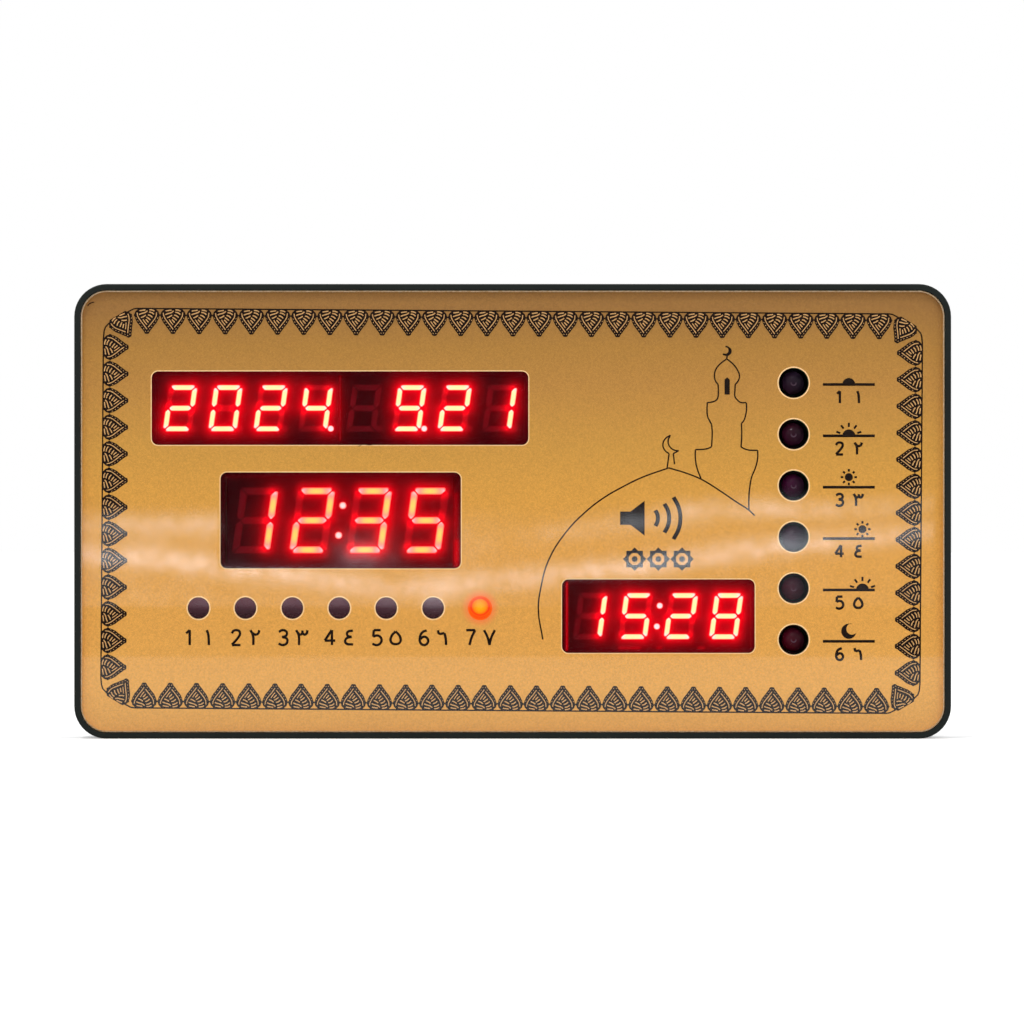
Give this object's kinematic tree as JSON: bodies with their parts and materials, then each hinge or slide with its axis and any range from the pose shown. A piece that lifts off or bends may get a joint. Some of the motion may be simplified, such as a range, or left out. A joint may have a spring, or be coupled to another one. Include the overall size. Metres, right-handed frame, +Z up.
{
  "type": "azan clock",
  "caption": "Table and wall clock with a gold printed face under clear acrylic, red LED windows for date, time and next call, indicator lamps, rear buttons, speaker and prop leg.",
  "frame": {"origin": "under the middle of the case, on the surface it stands on", "axes": "+X to the right seen from the face, +Y from the face to the back, +Z up"},
  "size_m": [0.27, 0.03, 0.14],
  "materials": {
    "case_plastic": "fine-textured moulded ABS",
    "clear_acrylic": "polished clear acrylic sheet",
    "gold_print": "satin metallic gold ink with dark brown line print",
    "red_filter": "deep red transparent film",
    "display_epoxy": "dark red potting resin in a moulded shell",
    "lit_segment": "translucent light bar, glowing where lit",
    "prayer_lamp_resin": "diffusing epoxy, off",
    "weekday_lamp_resin": "diffusing epoxy, one lit",
    "circuit_board": "glass-epoxy board with green solder mask",
    "board_parts": "black moulded epoxy and nylon",
    "connector_nylon": "natural nylon",
    "tinned_metal": "tinned and nickel-plated contacts",
    "zinc_steel": "zinc-plated steel",
    "ferrite": "sintered ferrite",
    "speaker_paper": "pressed paper cone, coated black",
    "cell_jacket": "printed jacket, no lettering",
    "button_plastic": "moulded grey ABS",
    "lead_insulation": "PVC insulation"
  },
  "bodies": {
    "case": {"azan_display_body": "display_epoxy", "azan_display_segments": "lit_segment", "battery_cells": "cell_jacket", "battery_plates": "tinned_metal", "battery_springs": "tinned_metal", "board_chips": "board_parts", "board_connectors": "connector_nylon", "board_screws": "zinc_steel", "button_board": "circuit_board", "button_cable": "connector_nylon", "capacitors": "board_parts", "case_screws": "zinc_steel", "clear_front_sheet": "clear_acrylic", "clock_display_body": "display_epoxy", "clock_display_segments": "lit_segment", "date_display_left_body": "display_epoxy", "date_display_left_segments": "lit_segment", "date_display_right_body": "display_epoxy", "date_display_right_segments": "lit_segment", "dc_socket_body": "board_parts", "dc_socket_pin": "tinned_metal", "front_frame": "case_plastic", "gold_face_film": "gold_print", "inner_leads": "lead_insulation", "main_board": "circuit_board", "prayer_lamp_1": "prayer_lamp_resin", "prayer_lamp_2": "prayer_lamp_resin", "prayer_lamp_3": "prayer_lamp_resin", "prayer_lamp_4": "prayer_lamp_resin", "prayer_lamp_5": "prayer_lamp_resin", "prayer_lamp_6": "prayer_lamp_resin", "prop_leg_pin": "zinc_steel", "rear_cover": "case_plastic", "solder_pins": "tinned_metal", "speaker_basket": "zinc_steel", "speaker_cone": "speaker_paper", "speaker_magnet": "ferrite", "speaker_screws": "zinc_steel", "switch_bodies": "board_parts", "weekday_lamp_1": "weekday_lamp_resin", "weekday_lamp_2": "weekday_lamp_resin", "weekday_lamp_3": "weekday_lamp_resin", "weekday_lamp_4": "weekday_lamp_resin", "weekday_lamp_5": "weekday_lamp_resin", "weekday_lamp_6": "weekday_lamp_resin", "weekday_lamp_7": "weekday_lamp_resin", "window_filters": "red_filter"},
    "mode_button": {"mode_button": "button_plastic", "mode_plunger": "button_plastic"},
    "set_button": {"set_button": "button_plastic", "set_plunger": "button_plastic"},
    "up_button": {"up_button": "button_plastic", "up_plunger": "button_plastic"},
    "down_button": {"down_button": "button_plastic", "down_plunger": "button_plastic"},
    "stop_button": {"stop_button": "button_plastic", "stop_plunger": "button_plastic"},
    "battery_door": {"battery_door": "case_plastic"},
    "prop_leg": {"prop_leg": "case_plastic"}
  },
  "joints": [
    {"name": "mode_press", "type": "slide", "parent": "case", "child": "mode_button", "axis": [0, -1, 0], "range_m": [0, 0.0005], "stiffness_N_per_m": 2000},
    {"name": "set_press", "type": "slide", "parent": "case", "child": "set_button", "axis": [0, -1, 0], "range_m": [0, 0.0005], "stiffness_N_per_m": 2000},
    {"name": "up_press", "type": "slide", "parent": "case", "child": "up_button", "axis": [0, -1, 0], "range_m": [0, 0.0005], "stiffness_N_per_m": 2000},
    {"name": "down_press", "type": "slide", "parent": "case", "child": "down_button", "axis": [0, -1, 0], "range_m": [0, 0.0005], "stiffness_N_per_m": 2000},
    {"name": "stop_press", "type": "slide", "parent": "case", "child": "stop_button", "axis": [0, -1, 0], "range_m": [0, 0.0005], "stiffness_N_per_m": 2000},
    {"name": "battery_door_hinge", "type": "hinge", "parent": "case", "child": "battery_door", "pos_m": [-0.0881, 0.0136, 0.034], "axis": [0, 0, 1], "range_deg": [0, 90]},
    {"name": "prop_leg_hinge", "type": "hinge", "parent": "case", "child": "prop_leg", "pos_m": [0, 0.0125, 0.088], "axis": [1, 0, 0], "range_deg": [0, 30]}
  ]
}
